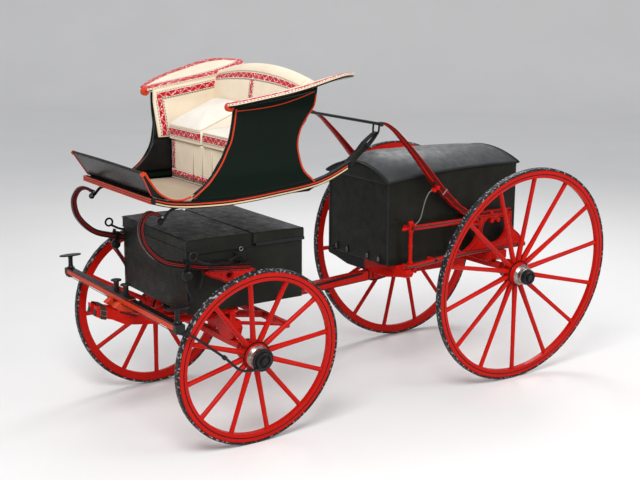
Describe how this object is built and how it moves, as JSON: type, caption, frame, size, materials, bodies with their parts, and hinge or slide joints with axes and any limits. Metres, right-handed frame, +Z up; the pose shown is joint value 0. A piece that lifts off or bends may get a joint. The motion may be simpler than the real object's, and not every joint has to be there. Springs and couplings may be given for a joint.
{
  "type": "high flyer phaeton",
  "caption": "High four-wheeled sprung carriage with a raised two-seat body, front and hind boots, cambered spoked wheels and a steering fore carriage.",
  "frame": {"origin": "bottom centre of the bounding box, on the ground", "axes": "+X to the vehicle's left, -Y to its front where the pole goes, +Z up"},
  "size_m": [1.8024, 3.9862, 2.438],
  "materials": {
    "red_wood": "gloss",
    "red_iron": "gloss",
    "black_iron": "gloss",
    "tyre_iron": "worn",
    "black_leather": "satin",
    "body_paint": "gloss",
    "cream_cloth": "matte",
    "bright_steel": "satin"
  },
  "bodies": {
    "carriage": {"perch": "red_wood", "hind_axle_bed": "red_wood", "hind_cross_bed": "red_wood", "spring_bracket_left": "red_iron", "spring_bracket_right": "red_iron", "hind_frame_left": "red_iron", "hind_frame_right": "red_iron", "whip_spring_left": "red_iron", "whip_spring_right": "red_iron", "hind_axle": "red_iron", "c_spring_left": "black_iron", "c_spring_right": "black_iron", "step_left": "black_iron", "step_right": "black_iron", "hind_axle_cap_left": "black_iron", "hind_axle_cap_right": "black_iron", "upper_wheel_plate": "black_iron", "front_boot": "black_leather", "hind_boot": "black_leather", "lever_rod": "bright_steel"},
    "wheel_front_left": {"front_wheel_left": "red_wood", "front_tyre_left": "tyre_iron"},
    "wheel_front_right": {"front_wheel_right": "red_wood", "front_tyre_right": "tyre_iron"},
    "wheel_hind_left": {"hind_wheel_left": "red_wood", "hind_tyre_left": "tyre_iron"},
    "wheel_hind_right": {"hind_wheel_right": "red_wood", "hind_tyre_right": "tyre_iron"},
    "boot_lid_front": {"front_boot_front_lid": "black_leather"},
    "boot_lid_rear": {"front_boot_rear_lid": "black_leather"},
    "hind_lid": {"hind_boot_lid": "black_leather"},
    "seat_body": {"side_panel_left": "body_paint", "side_panel_right": "body_paint", "rocker_left": "body_paint", "rocker_right": "body_paint", "wing_left": "cream_cloth", "wing_right": "cream_cloth", "side_lining_left": "cream_cloth", "side_lining_right": "cream_cloth", "seat_cushion_left": "cream_cloth", "seat_cushion_right": "cream_cloth", "brace_left": "black_leather", "brace_right": "black_leather", "floor_board": "body_paint", "dash_board": "black_leather", "back_panel": "body_paint", "back_lining": "cream_cloth", "seat_box": "body_paint", "seat_fall": "cream_cloth", "cross_bar": "black_iron"},
    "fore_carriage": {"fore_axle": "red_iron", "fore_frame": "red_wood", "splinter_bar": "red_wood", "lower_wheel_plate": "black_iron", "pole_strap": "black_leather", "wheel_iron_left": "red_iron", "wheel_iron_right": "red_iron", "front_axle_cap_left": "black_iron", "front_axle_cap_right": "black_iron"}
  },
  "joints": [
    {"name": "steering", "type": "hinge", "parent": "carriage", "child": "fore_carriage", "pos_m": [0, -1.1806, 0.794], "axis": [0, 0, 1], "range_deg": [-40, 40]},
    {"name": "front_left_wheel", "type": "hinge", "parent": "fore_carriage", "child": "wheel_front_left", "pos_m": [0.7915, -1.1806, 0.6063], "axis": [0.9945, 0, -0.1045], "continuous": true},
    {"name": "front_right_wheel", "type": "hinge", "parent": "fore_carriage", "child": "wheel_front_right", "pos_m": [-0.7915, -1.1806, 0.6063], "axis": [0.9945, 0, 0.1045], "continuous": true},
    {"name": "hind_left_wheel", "type": "hinge", "parent": "carriage", "child": "wheel_hind_left", "pos_m": [0.7915, 1.1574, 0.83363], "axis": [0.9945, 0, -0.1045], "continuous": true},
    {"name": "hind_right_wheel", "type": "hinge", "parent": "carriage", "child": "wheel_hind_right", "pos_m": [-0.7915, 1.1574, 0.83363], "axis": [0.9945, 0, 0.1045], "continuous": true},
    {"name": "front_lid_hinge", "type": "hinge", "parent": "carriage", "child": "boot_lid_front", "pos_m": [0, -1.0581, 1.362], "axis": [-1, 0, 0], "range_deg": [0, 18]},
    {"name": "rear_lid_hinge", "type": "hinge", "parent": "carriage", "child": "boot_lid_rear", "pos_m": [0, -1.0321, 1.362], "axis": [1, 0, 0], "range_deg": [0, 24]},
    {"name": "hind_lid_hinge", "type": "hinge", "parent": "carriage", "child": "hind_lid", "pos_m": [0, 1.4424, 1.617], "axis": [-1, 0, 0], "range_deg": [0, 75]},
    {"name": "body_suspension", "type": "slide", "parent": "carriage", "child": "seat_body", "axis": [0, 0, 1], "range_m": [-0.05, 0.04], "stiffness_N_per_m": 40000, "springref_m": 0.0209, "deforming": ["c_spring_left", "c_spring_right", "whip_spring_left", "whip_spring_right"]}
  ]
}
